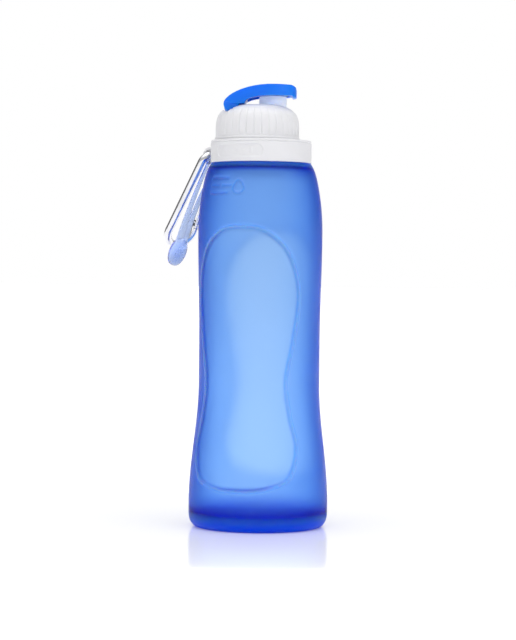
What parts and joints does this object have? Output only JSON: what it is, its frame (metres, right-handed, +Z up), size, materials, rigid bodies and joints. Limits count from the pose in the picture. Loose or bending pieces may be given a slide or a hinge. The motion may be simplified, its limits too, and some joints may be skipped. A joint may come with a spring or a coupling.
{
  "type": "folding water bottle",
  "caption": "Roll-up silicone bottle with a clamped plastic neck, ribbed screw cap, flip-lid spout, belt loop, spring-gate hook and closing strap.",
  "frame": {"origin": "centre of the flat base, on the axis of the silicone body", "axes": "+Z up through the neck, -Y out of the front grip panel, +X to the right as the front panel is seen"},
  "size_m": [0.0937, 0.071, 0.2252],
  "materials": {
    "blue_silicone": "translucent frosted silicone",
    "white_plastic": "satin moulded polypropylene",
    "clear_silicone": "milky silicone seal",
    "frosted_plastic": "frosted translucent polypropylene",
    "blue_plastic": "semi-gloss translucent polypropylene",
    "blue_plastic_soft": "soft plug",
    "pin_steel": "drawn pin",
    "bright_metal": "polished plated wire",
    "spring_steel": "spring steel",
    "pale_silicone": "pale translucent silicone"
  },
  "bodies": {
    "bottle": {"silicone_body": "blue_silicone"},
    "neck": {"neck_insert": "white_plastic", "neck_collar": "white_plastic"},
    "cap_seal": {"cap_gasket": "clear_silicone"},
    "cap": {"screw_cap": "white_plastic", "drinking_spout": "frosted_plastic", "lid_hinge_pin": "pin_steel"},
    "lid": {"flip_lid": "blue_plastic", "lid_plug": "blue_plastic_soft"},
    "hook": {"carabiner_frame": "bright_metal"},
    "gate": {"carabiner_gate": "bright_metal", "gate_rivet": "pin_steel", "gate_latch_pin": "pin_steel", "gate_spring": "spring_steel"},
    "strap": {"carry_strap": "pale_silicone"}
  },
  "joints": [
    {"name": "fold", "type": "slide", "parent": "bottle", "child": "neck", "axis": [0, 0, 1], "range_m": [-0.125, 0], "stiffness_N_per_m": 25, "springref_m": 0.06, "deforming": ["silicone_body"]},
    {"name": "cap_lift", "type": "slide", "parent": "neck", "child": "cap_seal", "axis": [0, 0, 1], "range_m": [0, 0.015]},
    {"name": "cap_turn", "type": "hinge", "parent": "cap_seal", "child": "cap", "pos_m": [-0.00191, -0.00059, 0.203], "axis": [0, 0, 1], "range_deg": [0, 1080]},
    {"name": "lid_open", "type": "hinge", "parent": "cap", "child": "lid", "pos_m": [-0.01473, -0.0045, 0.2149], "axis": [0.2924, -0.9563, 0], "range_deg": [0, 100]},
    {"name": "hook_swing", "type": "hinge", "parent": "neck", "child": "hook", "pos_m": [-0.03016, 0.00876, 0.19], "axis": [0.5, 0.866, 0], "range_deg": [0, 75]},
    {"name": "gate_open", "type": "hinge", "parent": "hook", "child": "gate", "pos_m": [-0.0312, 0.0167, 0.18221], "axis": [-0.7344, 0.424, 0.5299], "range_deg": [0, 20], "stiffness_Nm_per_rad": 0.02, "springref_deg": -17.19},
    {"name": "strap_swing", "type": "hinge", "parent": "neck", "child": "strap", "pos_m": [-0.0267, 0.00675, 0.19], "axis": [0.5, 0.866, 0], "range_deg": [-5, 0], "stiffness_Nm_per_rad": 0.004, "springref_deg": 5.73}
  ],
  "couplings": [
    {"joint": "cap_lift", "follows": "cap_turn", "m_per_rad": 0.00079577}
  ]
}
